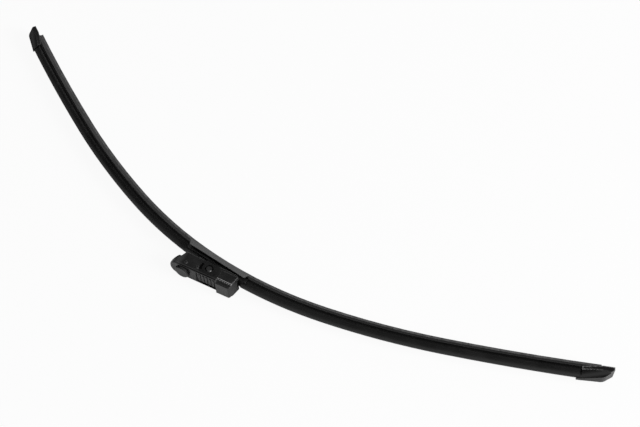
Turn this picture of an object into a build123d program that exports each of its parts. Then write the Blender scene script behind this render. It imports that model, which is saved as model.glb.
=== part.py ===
from build123d import *
import math
import os

os.makedirs("parts", exist_ok=True)

# Beam wiper blade lying on its flank. The blade curves in the XY plane with its rubber lip on the
# hollow +Y side; +Z is up through the flanks. Heights below are measured across the blade, from the
# lip outwards. The origin is on the floor, at the middle of the connector base's lower flank.

# Curve of the free blade, measured along the lip from the pivot
left_reach = 323.5
right_reach = 317.4
centre_radius = 370.0
middle_radius = 685.0
outer_radius = 1810.0
centre_arc = 97.5
middle_arc = 97.5

# Clearances
seat_clearance = 0.1
mouth_clearance = 0.25
running_clearance = 0.05
moving_clearance = 0.4
seam_gap = 0.35

# Wiper rubber section
lip_thickness = 0.7
lip_height = 1.9
shoulder_height = 5.2
shoulder_width = 4.4
shoulder_bevel = 0.5
neck_width = 1.1
neck_height = 0.55
flange_width = 5.0
flange_thickness = 0.7
web_width = 1.5
head_width = 4.2
head_thickness = 0.95

# Spring rails
rail_width = 2.85
rail_thickness = 0.9
rail_setback = 6.0

# Spoiler section
claw_wall = 0.7
hook_thickness = 0.7
spoiler_height = 14.0
spoiler_tip_width = 1.5
spoiler_hollow = 0.75
claw_shoulder = 0.3

# End caps
cap_length = 25.2
cap_overhang = 9.6
cap_wall = 0.4
cap_height = 15.3
cap_crest_width = 3.0
cap_crest_length = 17.5
cap_crest_end_height = 13.0
cap_crest_radius = 9.0
cap_nose_height = 6.2
cap_nose_bottom = 3.2
cap_nose_radius = 1.4
cap_scoop_radius = 7.6
cap_scoop_height = 9.0
cap_tab_length = 3.7
cap_tab_root = 0.6

# Connector base
base_length = 61.0
base_bottom = 4.2
skirt_height = 4.5
skirt_thickness = 1.1
skirt_end_slope = 2.0
tray_floor = 1.2
holder_wall = 0.5
holder_cover = 0.7
upright_thickness = 6.4
upright_length = 18.0
upright_wall = 1.4

# Pivot
pivot_height = 18.0
pin_diameter = 4.4
pin_head_diameter = 6.4
pin_head_height = 0.8
pin_head_clearance = 0.3
pin_head_recess = 1.2
pin_head_gap = 0.4
pin_head_taper = 45.0

# Adapter, along (u) and outwards (v) from the pivot
rest_tilt = 8.8
cheek_thickness = 3.5
outer_face = 7.4
tongue_end = 34.2
tongue_end_height = 2.0
tongue_heel = 29.0
tongue_start = 26.8
tongue_underside = -0.9
tongue_end_radius = 8.0
cheek_front = 24.8
cheek_front_bottom = -6.0
cheek_back = 22.5
cheek_back_bottom = -5.0
end_wall = 25.8
end_draft = 2.5
block_start = 11.0
block_height = 2.0
block_width = 14.8
block_end_radius = 1.8
block_edge_radius = 0.8
body_edge_radius = 1.6
bridge_underside = -1.2
upright_pocket_length = 21.0
roof = 4.1
flank_margin = 0.9
panel_step = 0.8
panel_front = 10.5
panel_low = -3.0
panel_high = 5.2
panel_inset = 0.3
recess_middle = 0.8
recess_length = 19.4
recess_width = 12.8
recess_depth = 0.9
rib_count = 5
rib_width = 1.5
rib_length = 8.6
rib_height = 0.6
relief_radius = 7.1
relief_width = 2.3
relief_middle = 174.0
relief_angle = 50.0
relief_depth = 1.6
detent_positions = (-20.2, -9.3)
detent_height = 3.4
detent_diameter = 3.0
detent_rise = 0.8
detent_taper = 25.0

# Release button and its spring
button_front = -15.4
button_diameter = 12.4
button_rise = 2.2
button_foot = 3.0
button_edge_radius = 0.8
button_gap = 0.4
pocket_floor = 1.7
snap_length = 6.0
snap_width = 0.7
snap_height = 0.9
spring_length = 10.0
spring_width = 5.0
spring_thickness = 0.3

# Heights across the blade that follow from the section
neck_bottom = shoulder_height + shoulder_bevel
flange_bottom = neck_bottom + neck_height
slot_bottom = flange_bottom + flange_thickness
rail_bottom = slot_bottom + seat_clearance
rail_top = rail_bottom + rail_thickness
slot_top = rail_top + seat_clearance
head_top = slot_top + head_thickness
hook_bottom = slot_bottom - hook_thickness
groove_top = head_top + mouth_clearance
base_top = base_bottom + skirt_height
holder_top = groove_top + holder_cover
block_top = outer_face + block_height

# Widths across the blade that follow from the section
rail_inner = web_width / 2 + seat_clearance
rail_outer = rail_inner + rail_width
slot_width = 2 * (rail_outer + seat_clearance)
mouth_width = flange_width + 2 * mouth_clearance
groove_width = head_width + 2 * mouth_clearance
claw_width = slot_width + 2 * claw_wall
cap_width = claw_width + 2 * cap_wall
holder_width = slot_width + 2 * holder_wall
cheek_inner = holder_width / 2 + moving_clearance
cheek_outer = cheek_inner + cheek_thickness
base_width = 2 * (cheek_outer + flank_margin)

# Frame: the base's lower flank lies on the floor and is centred on the origin
mid_z = base_width / 2
lip_y = base_bottom + skirt_height / 2
pivot_y = lip_y - pivot_height
mid_plane = Plane.XY.offset(mid_z)
base_plane = Plane(origin=(0, lip_y, mid_z), x_dir=(1, 0, 0), z_dir=(0, 0, -1))

# Places along the lip, from the pivot
lip_start, lip_end = -left_reach, right_reach
left_cap_start = left_reach + cap_overhang - cap_length
right_cap_start = right_reach + cap_overhang - cap_length
spoiler_start = base_length / 2 + seam_gap
left_fin_start = upright_pocket_length / 2 + moving_clearance
right_fin_start = end_wall + 2 * moving_clearance
middle_end = centre_arc + middle_arc
zones_end = max(left_reach, right_reach) + cap_length
blade_zones = (
    (-zones_end, -middle_end, outer_radius),
    (-middle_end, -centre_arc, middle_radius),
    (-centre_arc, centre_arc, centre_radius),
    (centre_arc, middle_end, middle_radius),
    (middle_end, zones_end, outer_radius),
)


def blade_frame(along):
    """Point (x, y) on the lip and the heading there in radians, at a length from the pivot."""
    x, y, heading = 0.0, lip_y, 0.0
    for low, high, radius in blade_zones:
        step = min(abs(along), high) - max(low, 0.0)
        if step > 0:
            turned = heading + step / radius
            x += radius * (math.sin(turned) - math.sin(heading))
            y += radius * (math.cos(heading) - math.cos(turned))
            heading = turned
    side = math.copysign(1.0, along)
    return side * x, y, side * heading


def blade_arcs(start, end):
    """Tangent arcs of the lip between two lengths from the pivot."""
    for low, high, radius in blade_zones:
        first = max(low, start)
        last = min(high, end)
        if last > first:
            x, y, heading = blade_frame(first)
            direction = (math.cos(heading), math.sin(heading))
            JernArc((x, y), direction, radius, math.degrees((last - first) / radius))


def section_plane(along):
    """Plane square to the blade: x across the blade from the lip outwards, y up."""
    x, y, heading = blade_frame(along)
    return Plane(
        origin=(x, y, mid_z),
        x_dir=(math.sin(heading), -math.cos(heading), 0),
        z_dir=(-math.cos(heading), -math.sin(heading), 0),
    )


def section_box(low, high, width):
    """Rectangle between two heights of a section, centred on the blade's mid-plane."""
    with Locations(((low + high) / 2, 0)):
        Rectangle(high - low, width)


def rail_channel(bottom):
    """Space that a carrier leaves for the rails and the rubber's flange and head."""
    section_box(bottom, slot_bottom, mouth_width)
    section_box(slot_bottom, slot_top, slot_width)
    section_box(slot_top, groove_top, groove_width)


# Wiper rubber: lip, tilting neck and the head that the rails grip
with BuildPart() as wiper_rubber:
    with BuildLine(mid_plane):
        blade_arcs(lip_start, lip_end)
    with BuildSketch(section_plane(lip_start)):
        with BuildLine():
            Polyline(
                (0, 0),
                (0, lip_thickness / 2),
                (lip_height, lip_thickness / 2),
                (shoulder_height, shoulder_width / 2),
                (neck_bottom, neck_width / 2),
                (flange_bottom, neck_width / 2),
                (flange_bottom, flange_width / 2),
                (slot_bottom, flange_width / 2),
                (slot_bottom, web_width / 2),
                (slot_top, web_width / 2),
                (slot_top, head_width / 2),
                (head_top, head_width / 2),
                (head_top, 0),
            )
            mirror(about=Plane.XZ)
        make_face()
    sweep()
wiper_rubber.part.label = "wiper_rubber"
export_step(wiper_rubber.part, "parts/wiper_rubber.step")

# Spring rails: flat steel strips in the grooves on both sides of the rubber's head
for side, name in ((1, "upper_rail"), (-1, "lower_rail")):
    with BuildPart() as rail:
        with BuildLine(mid_plane):
            blade_arcs(lip_start + rail_setback, lip_end - rail_setback)
        with BuildSketch(section_plane(lip_start + rail_setback)):
            with Locations(((rail_bottom + rail_top) / 2, side * (rail_inner + rail_outer) / 2)):
                Rectangle(rail_thickness, rail_width)
        sweep()
    rail.part.label = name
    export_step(rail.part, f"parts/{name}.step")

# Spoilers: hollow-flanked fins whose claws clip round the rails' outer edges. Over the connector base the
# claws are left off, and the fin lies on the rail holder.
fin_bottom = holder_top + seat_clearance
flank_bottom = slot_top + claw_shoulder
flank_middle = (flank_bottom + spoiler_height) / 2
flank_middle_width = (claw_width + spoiler_tip_width) / 2 - 2 * spoiler_hollow
for start, end, name in (
    (seam_gap - left_cap_start, -left_fin_start, "left_spoiler"),
    (right_fin_start, right_cap_start - seam_gap, "right_spoiler"),
):
    with BuildPart() as spoiler:
        with BuildLine(mid_plane):
            blade_arcs(start, end)
        with BuildSketch(section_plane(start)):
            with BuildLine():
                Polyline((hook_bottom, 0), (hook_bottom, claw_width / 2), (flank_bottom, claw_width / 2))
                ThreePointArc(
                    (flank_bottom, claw_width / 2),
                    (flank_middle, flank_middle_width / 2),
                    (spoiler_height, spoiler_tip_width / 2),
                )
                Line((spoiler_height, spoiler_tip_width / 2), (spoiler_height, 0))
                mirror(about=Plane.XZ)
            make_face()
            with BuildSketch(mode=Mode.SUBTRACT):
                rail_channel(hook_bottom - hook_thickness)
        sweep()
        with BuildSketch(base_plane):
            with Locations((0, fin_bottom / 2)):
                Rectangle(2 * spoiler_start, fin_bottom)
        extrude(amount=base_width, both=True, mode=Mode.SUBTRACT)
    spoiler.part.label = name
    export_step(spoiler.part, f"parts/{name}.step")

# End caps: hoods over the rails' ends, scooped on both flanks so that the crest widens to the nose. The
# right one has a tab over the spoiler's tip.
channel_depth = cap_length - cap_overhang + seam_gap
tab_bottom = spoiler_height + mouth_clearance
for side, cap_start, name in ((-1, left_cap_start, "left_end_cap"), (1, right_cap_start, "right_end_cap")):
    x, y, heading = blade_frame(side * cap_start)
    outward = (side * math.cos(heading), side * math.sin(heading), 0)
    across = (math.sin(heading), -math.cos(heading), 0)
    flank_plane = Plane(origin=(x, y, mid_z), x_dir=outward, z_dir=(0, 0, -side))
    mouth_plane = Plane(origin=(x, y, mid_z), x_dir=across, z_dir=outward)
    with BuildPart() as cap:
        with BuildSketch(flank_plane):
            with BuildLine():
                Polyline(
                    (0, hook_bottom),
                    (0, cap_height),
                    (cap_crest_length, cap_crest_end_height),
                    (cap_length, cap_nose_height),
                    (cap_length, cap_nose_bottom),
                    (channel_depth, cap_nose_bottom),
                    close=True,
                )
            make_face()
            corners = vertices().sort_by(Axis.Y)
            fillet(corners[-2:].sort_by(Axis.X)[-1], cap_crest_radius)
            fillet(vertices().sort_by(Axis.X)[-2:].sort_by(Axis.Y)[-1], cap_nose_radius)
        extrude(amount=cap_width / 2, both=True)
        for flank in (-1, 1):
            scoop_mouth = mouth_plane.from_local_coords(
                (cap_height, flank * (cap_crest_width / 2 + cap_scoop_radius), 0)
            )
            scoop_end = mouth_plane.from_local_coords(
                (cap_scoop_height, flank * (cap_width / 2 + cap_scoop_radius), cap_length)
            )
            with BuildSketch(Plane(origin=scoop_mouth, z_dir=scoop_end - scoop_mouth)):
                Circle(cap_scoop_radius)
            extrude(amount=2 * cap_length, both=True, mode=Mode.SUBTRACT)
        with BuildSketch(mouth_plane):
            rail_channel(cap_nose_bottom - hook_thickness)
        extrude(amount=channel_depth, mode=Mode.SUBTRACT)
        if side > 0:
            with BuildSketch(flank_plane):
                with Locations(((cap_tab_root - cap_tab_length) / 2, (tab_bottom + cap_height) / 2)):
                    Rectangle(cap_tab_root + cap_tab_length, cap_height - tab_bottom)
            extrude(amount=cap_crest_width / 2, both=True)
    cap.part.label = name
    export_step(cap.part, f"parts/{name}.step")

# Connector base: a tray whose middle block clips round the rails, with an upright for the pivot
with BuildPart() as connector_base:
    with BuildSketch(section_plane(0)):
        section_box(base_bottom, base_bottom + tray_floor, base_width)
        section_box(base_bottom, holder_top, holder_width)
    extrude(amount=base_length / 2, both=True)
    for side in (-1, 1):
        with BuildSketch(base_plane.offset(side * base_width / 2)):
            with BuildLine():
                Polyline(
                    (-base_length / 2, base_bottom),
                    (base_length / 2, base_bottom),
                    (base_length / 2 - skirt_end_slope, base_top),
                    (skirt_end_slope - base_length / 2, base_top),
                    close=True,
                )
            make_face()
        extrude(amount=-side * skirt_thickness)
    with BuildSketch(base_plane):
        with Locations((0, pivot_height)):
            Circle(pin_diameter / 2 + upright_wall)
        with Locations((0, holder_top - holder_cover / 2)):
            Rectangle(upright_length, holder_cover)
        make_hull()
    extrude(amount=upright_thickness / 2, both=True)
    with BuildLine(mid_plane):
        blade_arcs(-base_length, base_length)
    with BuildSketch(section_plane(-base_length)):
        rail_channel(base_bottom - hook_thickness)
    sweep(mode=Mode.SUBTRACT)
    with BuildSketch(base_plane):
        with Locations((0, pivot_height)):
            Circle(pin_diameter / 2 + running_clearance)
    extrude(amount=upright_thickness, both=True, mode=Mode.SUBTRACT)
connector_base.part.label = "connector_base"
export_step(connector_base.part, "parts/connector_base.step")

# Pivot pin: a rivet with a low tapered head, sunk in each flank of the adapter
pin_shoulder = cheek_outer - pin_head_recess + pin_head_clearance
with BuildPart() as pivot_pin:
    with BuildSketch(base_plane):
        with Locations((0, pivot_height)):
            Circle(pin_diameter / 2)
    extrude(amount=pin_shoulder, both=True)
    for side in (-1, 1):
        with BuildSketch(base_plane.offset(side * pin_shoulder)):
            with Locations((0, pivot_height)):
                Circle(pin_head_diameter / 2)
        extrude(amount=side * pin_head_height, taper=pin_head_taper)
pivot_pin.part.label = "pivot_pin"
export_step(pivot_pin.part, "parts/pivot_pin.step")

# Planes of the adapter in its rest pose: side view (u, v) and outer view (u, up)
tilt = math.radians(rest_tilt)
along_adapter = Vector(math.cos(tilt), math.sin(tilt), 0)
out_of_adapter = Vector(math.sin(tilt), -math.cos(tilt), 0)
pivot_point = Vector(0, pivot_y, mid_z)
along_axis = Axis(pivot_point, along_adapter)
outward_axis = Axis(pivot_point, out_of_adapter)
side_plane = Plane(origin=pivot_point, x_dir=along_adapter, z_dir=(0, 0, -1))


def outer_plane(level):
    """Plane facing out of the adapter at a distance from the pivot: x along it, y up."""
    return Plane(origin=pivot_point + out_of_adapter * level, x_dir=along_adapter, z_dir=out_of_adapter)


def end_at(level):
    """Place along the adapter of its drafted end wall, at a distance outwards from the pivot."""
    return end_wall - end_draft * (level - cheek_back_bottom) / (block_top - cheek_back_bottom)


def button_outline(growth):
    """Round outline of the release button, grown by a gap."""
    with Locations((button_middle, 0)):
        Circle(button_diameter / 2 + growth)


def snap_outline(growth):
    """Outline of the button's snap flanges, grown by a gap."""
    with Locations((button_middle, 0)):
        Rectangle(snap_length + 2 * growth, button_diameter + 2 * (snap_width + growth))


# Adapter: cheeks on the pivot, a round-ended tongue that carries the button and a solid stop block. The
# flanks are stepped down beside the block, so that the flank panels end in a ledge.
button_middle = button_front - button_diameter / 2
button_bottom = outer_face - button_foot
lip_bottom = button_bottom + snap_height + seat_clearance
with BuildPart() as adapter:
    with BuildSketch(side_plane):
        with BuildLine():
            Polyline(
                (-tongue_end, outer_face),
                (end_at(outer_face), outer_face),
                (end_at(panel_low), panel_low),
                (cheek_back, cheek_back_bottom),
                (-cheek_front, cheek_front_bottom),
                (-tongue_start, tongue_underside),
                (-tongue_heel, tongue_underside),
                (-tongue_end, outer_face - tongue_end_height),
                close=True,
            )
        make_face()
    extrude(amount=cheek_outer, both=True)
    with BuildSketch(outer_plane(outer_face)):
        Rectangle(2 * tongue_end, 2 * cheek_outer)
        fillet(vertices().sort_by(Axis.X)[:2], tongue_end_radius)
    extrude(amount=pivot_height, both=True, mode=Mode.INTERSECT)
    fillet(adapter.faces().sort_by(outward_axis)[-1].edges(), body_edge_radius)
    with BuildSketch(side_plane):
        with BuildLine():
            Polyline(
                (block_start, bridge_underside),
                (block_start, block_top),
                (end_at(block_top), block_top),
                (end_at(bridge_underside), bridge_underside),
                close=True,
            )
        make_face()
        fillet(vertices().sort_by(Axis.Y)[-2:].sort_by(Axis.X)[-1], block_end_radius)
    extrude(amount=block_width / 2, both=True)
    fillet(adapter.faces().sort_by(outward_axis)[-1].edges().filter_by(along_axis), block_edge_radius)
    for side in (-1, 1):
        flank = side_plane.offset(side * cheek_outer)
        with BuildSketch(flank):
            with BuildLine():
                Polyline(
                    (panel_front, panel_low),
                    (panel_front, panel_high),
                    (end_at(panel_high) - panel_inset, panel_high),
                    (end_at(panel_low) - panel_inset, panel_low),
                    close=True,
                )
            make_face()
        extrude(amount=side * panel_step)
        with BuildSketch(flank):
            with Locations((panel_front, panel_high)):
                Rectangle(end_wall, block_top, align=(Align.MIN, Align.MIN))
        extrude(amount=-side * (cheek_outer - block_width / 2), mode=Mode.SUBTRACT)
        with BuildSketch(flank):
            for place in detent_positions:
                with Locations((place, detent_height)):
                    Circle(detent_diameter / 2)
        extrude(amount=side * detent_rise, taper=detent_taper)
        with BuildSketch(flank):
            with BuildLine():
                CenterArc((0, 0), relief_radius, relief_middle - relief_angle / 2, relief_angle)
            trace(line_width=relief_width)
        extrude(amount=-side * relief_depth, mode=Mode.SUBTRACT)
        with BuildSketch(flank):
            Circle(pin_head_diameter / 2 + pin_head_gap)
        extrude(amount=-side * pin_head_recess, mode=Mode.SUBTRACT)
    with BuildSketch(outer_plane(bridge_underside)):
        Rectangle(2 * tongue_end, 2 * cheek_inner)
    extrude(amount=-pivot_height, mode=Mode.SUBTRACT)
    with BuildSketch(outer_plane(roof)):
        Rectangle(upright_pocket_length, upright_thickness + 2 * moving_clearance)
    extrude(amount=-pivot_height, mode=Mode.SUBTRACT)
    with BuildSketch(outer_plane(outer_face)):
        with Locations((recess_middle, 0)):
            Rectangle(recess_length, recess_width)
    extrude(amount=-recess_depth, mode=Mode.SUBTRACT)
    with BuildSketch(outer_plane(outer_face - recess_depth)):
        with Locations((recess_middle, 0)):
            with GridLocations(recess_length / (rib_count + 1), 0, rib_count, 1):
                Rectangle(rib_width, rib_length)
    extrude(amount=rib_height)
    with BuildSketch(outer_plane(outer_face)):
        button_outline(button_gap)
    extrude(amount=pocket_floor - outer_face, mode=Mode.SUBTRACT)
    with BuildSketch(outer_plane(lip_bottom)):
        snap_outline(button_gap)
    extrude(amount=pocket_floor - lip_bottom, mode=Mode.SUBTRACT)
    with BuildSketch(side_plane):
        Circle(pin_diameter / 2 + running_clearance)
    extrude(amount=base_width, both=True, mode=Mode.SUBTRACT)
adapter.part.label = "adapter"
export_step(adapter.part, "parts/adapter.step")

# Release button: a round cap held under the pocket's lip by two snap flanges
with BuildPart() as release_button:
    with BuildSketch(outer_plane(button_bottom)):
        button_outline(0)
    extrude(amount=button_foot + button_rise)
    fillet(release_button.faces().sort_by(outward_axis)[-1].edges(), button_edge_radius)
    with BuildSketch(outer_plane(button_bottom)):
        snap_outline(0)
    extrude(amount=snap_height)
release_button.part.label = "release_button"
export_step(release_button.part, "parts/release_button.step")

# Button spring: a bowed steel leaf between the pocket's floor and the button
spring_foot = pocket_floor + seat_clearance + spring_thickness
spring_crest = button_bottom - seat_clearance - spring_thickness / 2
with BuildPart() as button_spring:
    with BuildSketch(side_plane):
        with BuildLine():
            ThreePointArc(
                (button_middle - spring_length / 2, spring_foot),
                (button_middle, spring_crest),
                (button_middle + spring_length / 2, spring_foot),
            )
        trace(line_width=spring_thickness)
    extrude(amount=spring_width / 2, both=True)
button_spring.part.label = "button_spring"
export_step(button_spring.part, "parts/button_spring.step")
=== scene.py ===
import math

import bpy
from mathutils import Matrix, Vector


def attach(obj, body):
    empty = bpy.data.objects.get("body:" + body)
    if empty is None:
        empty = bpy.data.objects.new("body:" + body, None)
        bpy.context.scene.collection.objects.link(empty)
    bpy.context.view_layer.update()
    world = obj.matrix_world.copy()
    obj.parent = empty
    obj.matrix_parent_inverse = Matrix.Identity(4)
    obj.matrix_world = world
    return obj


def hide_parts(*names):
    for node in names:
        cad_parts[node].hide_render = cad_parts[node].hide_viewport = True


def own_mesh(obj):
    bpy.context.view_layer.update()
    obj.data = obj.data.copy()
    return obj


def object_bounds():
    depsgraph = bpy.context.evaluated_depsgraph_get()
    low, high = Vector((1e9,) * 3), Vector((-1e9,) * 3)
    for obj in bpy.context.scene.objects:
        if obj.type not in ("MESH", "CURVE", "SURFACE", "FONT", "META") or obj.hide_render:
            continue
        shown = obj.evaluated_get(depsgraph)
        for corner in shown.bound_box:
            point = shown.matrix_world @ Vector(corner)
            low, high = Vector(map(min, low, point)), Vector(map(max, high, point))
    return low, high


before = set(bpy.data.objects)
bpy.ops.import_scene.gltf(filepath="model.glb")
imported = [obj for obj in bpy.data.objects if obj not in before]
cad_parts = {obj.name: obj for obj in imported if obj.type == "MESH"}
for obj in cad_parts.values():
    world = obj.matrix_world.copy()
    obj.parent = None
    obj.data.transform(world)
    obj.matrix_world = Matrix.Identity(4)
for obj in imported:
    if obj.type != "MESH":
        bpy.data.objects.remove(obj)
cad_low, cad_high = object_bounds()

# Camera, fitted to the outline of the blade in the photo (metres, degrees, pixels; the sensor in millimetres)
view_target = Vector((0.0363, 0.09165, 0.0091))
view_azimuth = 36.24
view_elevation = 53.71
view_distance = 0.980
focal_pixels = 1150
photo_width = 640
sensor_width = 36.0

# Floor (metres, linear grey level), and the share of plain white in it, to the camera and in reflections
floor_gap = 0.0002
floor_half = 30.0
floor_tone = 0.60
floor_lift = 0.93
mirrored_lift = 0.30

# Room: a strip of light overhead and a white wall, as stops of position and level along directions
strip_front = Vector((0.0, 1.0, 0.0))
strip_front_tones = ((-0.36, 0.08), (-0.18, 1.0))
strip_side = Vector((1.0, 0.0, 0.0))
strip_side_tones = ((-0.86, 0.15), (-0.62, 1.0), (0.78, 1.0), (0.94, 0.2))
strip_back = Vector((-0.25, 1.0, 0.0))
strip_back_tones = ((0.20, 1.0), (0.42, 0.07))
wall_tones = ((0.68, 0.0), (0.88, 1.0))

# Lamps at the right: a broad one that isn't mirrored, and a small one for the glints (metres, watts)
lamp_centre = Vector((2.60, 0.60, 1.10))
lamp_aim = Vector((0.0, 0.05, 0.0))
softbox_side = 1.6
softbox_power = 130.0
glint_side = 0.6
glint_power = 24.0

# Tones of the pieces (linear grey levels)
# Wiper rubber: the lip flats are a pale grey coat, also standing in for the light on them; the near-black
# rest is painted shade in the rubber's neck
lip_tones = (0.036, 0.076)
rubber_tones = (0.001, 0.004)
spoiler_tones = (0.005, 0.0075)
# Painted shadow: the spoilers' claw flats are near-black, a shadow line beside the rubber
claw_shadow_tones = (0.0008, 0.0016)
left_cap_tones = (0.004, 0.008)
# Painted shade: the right cap is a darker copy of the same cap plastic as the left
right_cap_shade_tones = (0.0015, 0.0035)
# Painted shade: the base is near-black except on its outer flanks, so the inside of its tray looks shaded;
# the flanks are a paler finish
base_shaded_tones = (0.006, 0.010)
base_flank_tones = (0.062, 0.080)
adapter_tones = (0.004, 0.006)
button_tones = (0.004, 0.007)
rail_tones = (0.022, 0.036)
pin_tones = (0.05, 0.09)
leaf_tones = (0.42, 0.58)

# Roughness and specular level of the pieces
lip_roughness = (0.55, 0.65)
rubber_roughness = (0.70, 0.80)
spoiler_roughness = (0.30, 0.38)
claw_roughness = (0.14, 0.20)
plastic_roughness = (0.28, 0.36)
base_roughness = (0.45, 0.55)
rail_roughness = (0.30, 0.42)
pin_roughness = (0.26, 0.38)
leaf_roughness = (0.26, 0.36)
plastic_specular = 0.5
soft_specular = 0.4
rubber_specular = 0.33

# Cloudy tone, streaks, grain and soft edges (metres)
lip_mottle = 0.004
spoiler_mottle = 0.015
cap_mottle = 0.010
base_mottle = 0.010
adapter_mottle = 0.008
button_mottle = 0.006
rail_mottle = 0.006
steel_streak = 0.004
streak_stretch = (1.0, 1.0, 12.0)
rubber_grain = 0.0005
fine_grain = 0.0004
fine_depth = 0.00003
base_depth = 0.00004
rail_depth = 0.00002
grain_strength = 0.6
soft_edge = 0.0003
soft_edge_samples = 6

# Noise: its detail, and the spans that tone and gloss are read from
mottle_detail = 4.0
patch_detail = 3.0
grain_detail = 2.0
tone_span = (0.35, 0.65)
gloss_span = (0.3, 0.7)

# Faces further from the mid-plane than a reach have tones of their own, some of them painted shade as noted
# at the tones (metres)
mid_height = 0.0091
lip_reach = 0.00045
claw_reach = 0.0042
cap_reach = 0.0045
base_reach = 0.0088

# Patchy lightening: painted light on the rubber, growing towards its left end, and spoilers paler near the
# connector (linear grey levels, metres)
rubber_painted_light_tone = 0.026
rubber_painted_light_span = (0.12, -0.22)
spoiler_pale_tone = 0.0125
spoiler_pale_span = (0.15, 0.07)
lightening_patch = 0.012
lightening_shares = (0.6, 1.0)

# Pale edges, partly rubbed wear and partly painted highlight, the right cap's mostly highlight (linear grey
# levels, metres), and how far normals agree on a face and on an edge
adapter_edge_tone = 0.10
left_cap_edge_tone = 0.05
right_cap_edge_highlight_tone = 0.16
adapter_edge_width = 0.0006
cap_edge_width = 0.0022
edge_agreement = (0.99, 0.85)
edge_samples = 8
edge_patch = 0.0017
edge_patch_span = (0.35, 0.6)
edge_patch_shares = (0.3, 1.0)

# Adapter: its pivot and axes at rest, its painted shade, light and highlights, its glossy and rough zones,
# and the painted highlight on the pin (metres, linear grey levels)
adapter_pivot = Vector((0.0, -0.01155, mid_height))
adapter_tilt = math.radians(8.8)
along_axis = Vector((math.cos(adapter_tilt), math.sin(adapter_tilt), 0.0))
outward_axis = Vector((math.sin(adapter_tilt), -math.cos(adapter_tilt), 0.0))
# Painted shade round the pivot, over the pin's recess and the crescent slot
pivot_zone = 0.0086
pivot_shade_tone = 0.001
relief_reach = 0.0077
relief_roughness = 0.12
# Painted light: the tongue's tip is paler, where its tilted face catches the light
tip_zone = (-0.0225, -0.0275)
tip_painted_light_tone = 0.035
ledge_start = 0.0104
ledge_height = 0.0052
ledge_skin = 0.0004
ledge_reach = 0.0073
# Painted highlight along the ledge beside the block
ledge_highlight_tone = 0.24
end_wall_facing = 0.7
end_wall_roughness = 0.5
# Painted highlight on the front side of the pin head's rim
rim_direction = Vector((0.70, -0.71, 0.0))
rim_start = 0.0021
rim_highlight_tone = 0.4


def add_node(tree, kind, inputs=None, **settings):
    """A shader node with its settings, and with each input set or linked."""
    made = tree.nodes.new(kind)
    for name, value in settings.items():
        setattr(made, name, value)
    for name, value in (inputs or {}).items():
        if isinstance(value, bpy.types.NodeSocket):
            tree.links.new(value, made.inputs[name])
        else:
            made.inputs[name].default_value = value
    return made


def grey(level):
    return (level, level, level, 1.0)


def calculated(tree, operation, *values):
    return add_node(tree, "ShaderNodeMath", dict(enumerate(values)), operation=operation).outputs[0]


def product(tree, first, second):
    return calculated(tree, "MULTIPLY", first, second)


def dot(tree, vector, direction):
    return add_node(tree, "ShaderNodeVectorMath", {0: vector, 1: direction},
                    operation="DOT_PRODUCT").outputs["Value"]


def part_of(tree, vector, letter):
    """X, Y or Z of a vector."""
    return add_node(tree, "ShaderNodeSeparateXYZ", {"Vector": vector}).outputs[letter]


def stretched(tree, value, span, ends=(0.0, 1.0)):
    """A value with its span stretched between two ends, and held at them outside it."""
    return add_node(tree, "ShaderNodeMapRange",
                    {"Value": value, "From Min": span[0], "From Max": span[1],
                     "To Min": ends[0], "To Max": ends[1]}).outputs["Result"]


def mixed_colour(tree, share, first, second, blend="MIX"):
    return add_node(tree, "ShaderNodeMix", {0: share, 6: first, 7: second},
                    data_type="RGBA", blend_type=blend).outputs[2]


def mixed_value(tree, share, first, second):
    return add_node(tree, "ShaderNodeMix", {0: share, 2: first, 3: second}).outputs[0]


def grey_ramp(tree, factor, stops):
    """Grey levels between stops of position and level."""
    ramp = add_node(tree, "ShaderNodeValToRGB", {"Fac": factor})
    elements = ramp.color_ramp.elements
    while len(elements) < len(stops):
        elements.new(1.0)
    for element, (position, level) in zip(elements, stops):
        element.position = position
        element.color = grey(level)
    return ramp.outputs["Color"]


def noise(tree, place, size, detail):
    return add_node(tree, "ShaderNodeTexNoise",
                    {"Vector": place, "Scale": 1 / size, "Detail": detail}).outputs["Fac"]


def toned(tree, factor, tones):
    """Grey levels between two tones over a noise's usual span."""
    return grey_ramp(tree, factor, tuple(zip(tone_span, tones)))


def beyond_reach(tree, place, reach):
    """1 where a place is further from the blade's mid-plane than a reach, and 0 elsewhere."""
    offset = calculated(tree, "SUBTRACT", part_of(tree, place, "Z"), mid_height)
    return calculated(tree, "GREATER_THAN", calculated(tree, "ABSOLUTE", offset), reach)


def from_pivot(tree, place):
    return add_node(tree, "ShaderNodeVectorMath", {0: place, 1: adapter_pivot},
                    operation="SUBTRACT").outputs["Vector"]


def edge_share(tree, place, width):
    """About 1 on the edges of a piece and 0 on its faces, broken up in patches, for pale edges that are
    partly rubbed wear and partly painted highlight.
    """
    rounded = add_node(tree, "ShaderNodeBevel", {"Radius": width}, samples=edge_samples).outputs["Normal"]
    plain = add_node(tree, "ShaderNodeNewGeometry").outputs["Normal"]
    turned = stretched(tree, dot(tree, rounded, plain), edge_agreement)
    patches = noise(tree, place, edge_patch, patch_detail)
    return product(tree, turned, stretched(tree, patches, edge_patch_span, edge_patch_shares))


def lightened_in_patches(tree, place, colour, along, span, tone):
    """A colour lightened in patches with a grey tone, more and more along a span."""
    patches = noise(tree, place, lightening_patch, patch_detail)
    share = product(tree, stretched(tree, along, span), stretched(tree, patches, gloss_span, lightening_shares))
    return mixed_colour(tree, share, colour, grey(tone), blend="LIGHTEN")


def rubber_marks(tree, place, colour, gloss):
    """The rubber's colour with painted light that grows in patches towards the left end, and its roughness.
    """
    # Painted light: the rubber grows lighter towards its left end
    along = part_of(tree, place, "X")
    return lightened_in_patches(tree, place, colour, along, rubber_painted_light_span, rubber_painted_light_tone), gloss


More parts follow.
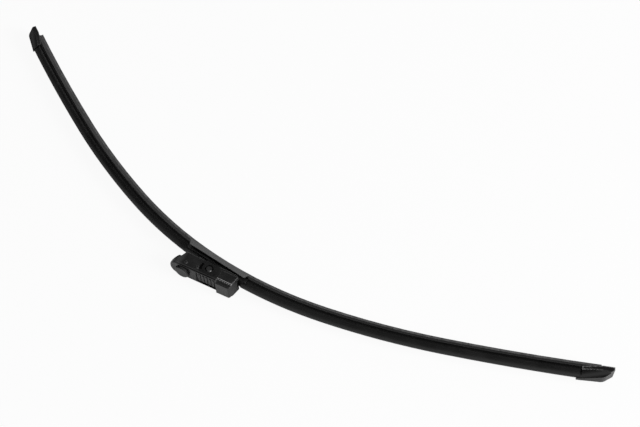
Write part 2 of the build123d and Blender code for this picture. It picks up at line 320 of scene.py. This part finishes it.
def spoiler_marks(tree, place, colour, gloss):
    """The spoilers' colour, lighter in patches near the connector except on the claws, and their roughness.
    """
    from_middle = calculated(tree, "ABSOLUTE", part_of(tree, place, "X"))
    paled = lightened_in_patches(tree, place, colour, from_middle, spoiler_pale_span, spoiler_pale_tone)
    return mixed_colour(tree, beyond_reach(tree, place, claw_reach), paled, colour), gloss


def pin_marks(tree, place, colour, gloss):
    """The pin's colour, with a painted highlight on one side of its head's rim, and its roughness."""
    towards_rim = dot(tree, from_pivot(tree, place), rim_direction)
    # Painted highlight on the rim's front side
    rim_highlight = calculated(tree, "GREATER_THAN", towards_rim, rim_start)
    return mixed_colour(tree, rim_highlight, colour, grey(rim_highlight_tone)), gloss


def adapter_marks(tree, place, colour, gloss):
    """The adapter's colour and roughness.

    Its pivot zone is darker with painted shade and its reliefs glossy, its tip is paler with painted light
    and its ledges carry a painted highlight, and its end wall is rough.
    """
    offset = from_pivot(tree, place)
    along = dot(tree, offset, along_axis)
    outwards = dot(tree, offset, outward_axis)

    squares = (calculated(tree, "POWER", along, 2.0), calculated(tree, "POWER", outwards, 2.0))
    radius = calculated(tree, "SQRT", calculated(tree, "ADD", *squares))
    near_pivot = calculated(tree, "LESS_THAN", radius, pivot_zone)
    # Painted shade: darker round the pivot
    colour = mixed_colour(tree, near_pivot, colour, grey(pivot_shade_tone))
    sunk = calculated(tree, "SUBTRACT", near_pivot, beyond_reach(tree, place, relief_reach))
    gloss = mixed_value(tree, sunk, gloss, relief_roughness)

    # Painted light: paler towards the tongue's tip
    colour = mixed_colour(tree, stretched(tree, along, tip_zone), colour, grey(tip_painted_light_tone))

    # Painted highlight: a pale line along the ledge beside the block
    beside_block = calculated(tree, "GREATER_THAN", along, ledge_start)
    level = calculated(tree, "COMPARE", outwards, ledge_height, ledge_skin)
    at_ledge_highlight = product(tree, product(tree, beside_block, level), beyond_reach(tree, place, ledge_reach))
    colour = mixed_colour(tree, at_ledge_highlight, colour, grey(ledge_highlight_tone))

    facing = dot(tree, add_node(tree, "ShaderNodeTexCoord").outputs["Normal"], along_axis)
    at_end = calculated(tree, "GREATER_THAN", facing, end_wall_facing)
    return colour, mixed_value(tree, at_end, gloss, end_wall_roughness)


def new_material(name):
    """A material with its node tree, its shader and the place on the piece."""
    material = bpy.data.materials.new(name)
    material.use_nodes = True
    tree = material.node_tree
    place = add_node(tree, "ShaderNodeTexCoord").outputs["Object"]
    return material, tree, tree.nodes["Principled BSDF"], place


def moulded(name, tones, roughness, mottle_size, grain_size=fine_grain, grain_depth=fine_depth,
            specular=plastic_specular, flank=None, edges=None, marks=None):
    """A moulded, extruded or coated black surface: cloudy tone, uneven gloss, fine grain and soft edges.

    A flank is the reach, tones and roughness of the faces further out than that reach, where they have
    another finish or painted shade. Edges are the reach, tone and width of pale edges, partly rubbed wear and
    partly painted highlight. Marks are a function that adds a piece's own marks, painted light, shade and
    highlights among them.
    """
    material, tree, shader, place = new_material(name)
    mottle = noise(tree, place, mottle_size, mottle_detail)
    colour = toned(tree, mottle, tones)
    gloss = stretched(tree, mottle, gloss_span, roughness)
    if flank:
        reach, flank_tones, flank_roughness = flank
        at_flank = beyond_reach(tree, place, reach)
        colour = mixed_colour(tree, at_flank, colour, toned(tree, mottle, flank_tones))
        gloss = mixed_value(tree, at_flank, gloss, stretched(tree, mottle, gloss_span, flank_roughness))
    if edges:
        reach, edge_tone, edge_width = edges
        # Pale edges: partly rubbed wear, partly painted highlight
        worn_and_highlit = product(tree, edge_share(tree, place, edge_width), beyond_reach(tree, place, reach))
        colour = mixed_colour(tree, worn_and_highlit, colour, grey(edge_tone))
    if marks:
        colour, gloss = marks(tree, place, colour, gloss)
    rounded = add_node(tree, "ShaderNodeBevel", {"Radius": soft_edge}, samples=soft_edge_samples)
    bump = add_node(tree, "ShaderNodeBump",
                    {"Strength": grain_strength, "Distance": grain_depth,
                     "Height": noise(tree, place, grain_size, grain_detail),
                     "Normal": rounded.outputs["Normal"]})
    tree.links.new(colour, shader.inputs["Base Color"])
    tree.links.new(gloss, shader.inputs["Roughness"])
    tree.links.new(bump.outputs["Normal"], shader.inputs["Normal"])
    shader.inputs["Specular IOR Level"].default_value = specular
    return material


def drawn_steel(name, tones, roughness, marks=None):
    """Drawn or rolled steel, with fine streaks across Z. Marks are a function that adds its own marks, such
    as a painted highlight.
    """
    material, tree, shader, place = new_material(name)
    drawn_out = add_node(tree, "ShaderNodeMapping", {"Vector": place, "Scale": streak_stretch})
    streaks = noise(tree, drawn_out.outputs["Vector"], steel_streak, patch_detail)
    colour = toned(tree, streaks, tones)
    gloss = stretched(tree, streaks, gloss_span, roughness)
    if marks:
        colour, gloss = marks(tree, place, colour, gloss)
    tree.links.new(colour, shader.inputs["Base Color"])
    tree.links.new(gloss, shader.inputs["Roughness"])
    shader.inputs["Metallic"].default_value = 1.0
    return material


def dress(material, *names):
    """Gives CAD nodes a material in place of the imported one."""
    for name in names:
        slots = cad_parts[name].data.materials
        slots.clear()
        slots.append(material)


def dress_pieces():
    dress(moulded("wiper_rubber", lip_tones, lip_roughness, lip_mottle, grain_size=rubber_grain,
                  specular=rubber_specular, flank=(lip_reach, rubber_tones, rubber_roughness),
                  marks=rubber_marks), "wiper_rubber")
    # Spoilers: their claw flats take the painted shadow tones
    dress(moulded("spoiler_elastomer", spoiler_tones, spoiler_roughness, spoiler_mottle,
                  specular=soft_specular, flank=(claw_reach, claw_shadow_tones, claw_roughness),
                  marks=spoiler_marks), "left_spoiler", "right_spoiler")
    dress(moulded("left_cap_plastic", left_cap_tones, plastic_roughness, cap_mottle, specular=soft_specular,
                  edges=(cap_reach, left_cap_edge_tone, cap_edge_width)), "left_end_cap")
    # Right cap: painted shade in its tones, and a painted highlight on its edges
    dress(moulded("right_cap_plastic", right_cap_shade_tones, plastic_roughness, cap_mottle, specular=soft_specular,
                  edges=(cap_reach, right_cap_edge_highlight_tone, cap_edge_width)), "right_end_cap")
    dress(moulded("base_plastic", base_shaded_tones, base_roughness, base_mottle, grain_depth=base_depth,
                  flank=(base_reach, base_flank_tones, base_roughness)), "connector_base")
    dress(moulded("adapter_plastic", adapter_tones, plastic_roughness, adapter_mottle,
                  edges=(0.0, adapter_edge_tone, adapter_edge_width), marks=adapter_marks), "adapter")
    dress(moulded("button_plastic", button_tones, plastic_roughness, button_mottle), "release_button")
    dress(moulded("rail_coating", rail_tones, rail_roughness, rail_mottle, grain_depth=rail_depth),
          "upper_rail", "lower_rail")
    dress(drawn_steel("pin_steel", pin_tones, pin_roughness, marks=pin_marks), "pivot_pin")
    dress(drawn_steel("spring_steel", leaf_tones, leaf_roughness), "button_spring")


def make_leaf():
    """The spring as a piece of its own, carried by the adapter, in place of the CAD node."""
    leaf = bpy.data.objects.new("button_leaf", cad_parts["button_spring"].data.copy())
    bpy.context.scene.collection.objects.link(leaf)
    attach(leaf, "arm_adapter")
    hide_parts("button_spring")
    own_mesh(leaf)


def lifted_share(tree):
    """Share of plain white in the floor: high to the camera, less in reflections, none for other light."""
    path = add_node(tree, "ShaderNodeLightPath")
    bounced = calculated(tree, "MAXIMUM", path.outputs["Is Glossy Ray"], path.outputs["Is Transmission Ray"])
    seen = product(tree, path.outputs["Is Camera Ray"], floor_lift)
    return calculated(tree, "MAXIMUM", seen, product(tree, bounced, mirrored_lift))


def floor_material():
    """White studio paper that keeps the object's shadow and looks white to the camera."""
    material = bpy.data.materials.new("studio_paper")
    material.use_nodes = True
    tree = material.node_tree
    tree.nodes.clear()
    paper = add_node(tree, "ShaderNodeBsdfDiffuse", {"Color": grey(floor_tone)})
    glow = add_node(tree, "ShaderNodeEmission", {"Color": grey(1.0), "Strength": 1.0})
    both = add_node(tree, "ShaderNodeMixShader",
                    {0: lifted_share(tree), 1: paper.outputs[0], 2: glow.outputs[0]})
    add_node(tree, "ShaderNodeOutputMaterial", {"Surface": both.outputs[0]})
    return material


def make_floor():
    mesh = bpy.data.meshes.new("floor")
    level = cad_low.z - floor_gap
    corners = [(x * floor_half, y * floor_half, level) for x, y in ((-1, -1), (1, -1), (1, 1), (-1, 1))]
    mesh.from_pydata(corners, [], [(0, 1, 2, 3)])
    floor = bpy.data.objects.new("floor", mesh)
    floor.data.materials.append(floor_material())
    bpy.context.scene.collection.objects.link(floor)


def sky_band(tree, direction, axis, stops):
    """Brightness of the room along an axis, between stops of position, from -1 to 1, and level."""
    share = stretched(tree, dot(tree, direction, axis), (-1.0, 1.0))
    return grey_ramp(tree, share, tuple(((position + 1) / 2, level) for position, level in stops))


def make_world():
    """A dark room with a strip of light overhead, which fades at its ends, and a white wall behind."""
    world = bpy.data.worlds.new("studio")
    world.use_nodes = True
    bpy.context.scene.world = world
    tree = world.node_tree
    direction = add_node(tree, "ShaderNodeTexCoord").outputs["Generated"]
    strip = product(tree, sky_band(tree, direction, strip_front, strip_front_tones),
                    sky_band(tree, direction, strip_back, strip_back_tones))
    strip = product(tree, strip, sky_band(tree, direction, strip_side, strip_side_tones))
    wall = sky_band(tree, direction, strip_back, wall_tones)
    tree.links.new(calculated(tree, "ADD", strip, wall), tree.nodes["Background"].inputs["Color"])


def aim(thing, target):
    """Turns a lamp or camera, which looks along its own -Z, to a point."""
    thing.rotation_euler = (target - thing.location).to_track_quat("-Z", "Y").to_euler()


def make_lamp(name, side, power, mirrored):
    """A square lamp at the object's right, that shows in reflections or not."""
    lamp = bpy.data.lights.new(name, "AREA")
    lamp.size = side
    lamp.energy = power
    placed = bpy.data.objects.new(name, lamp)
    placed.location = lamp_centre
    placed.visible_glossy = mirrored
    aim(placed, lamp_aim)
    bpy.context.scene.collection.objects.link(placed)


def make_camera():
    azimuth, elevation = math.radians(view_azimuth), math.radians(view_elevation)
    back = Vector((math.sin(azimuth) * math.cos(elevation),
                   -math.cos(azimuth) * math.cos(elevation),
                   math.sin(elevation)))
    lens = bpy.data.cameras.new("photo_camera")
    lens.sensor_width = sensor_width
    lens.lens = focal_pixels / photo_width * sensor_width
    camera = bpy.data.objects.new("photo_camera", lens)
    camera.location = view_target + back * view_distance
    aim(camera, view_target)
    bpy.context.scene.collection.objects.link(camera)
    bpy.context.scene.camera = camera


dress_pieces()
make_leaf()
make_floor()
make_world()
make_lamp("softbox", softbox_side, softbox_power, mirrored=False)
make_lamp("glint_lamp", glint_side, glint_power, mirrored=True)
make_camera()
bpy.context.scene.view_settings.view_transform = "Standard"
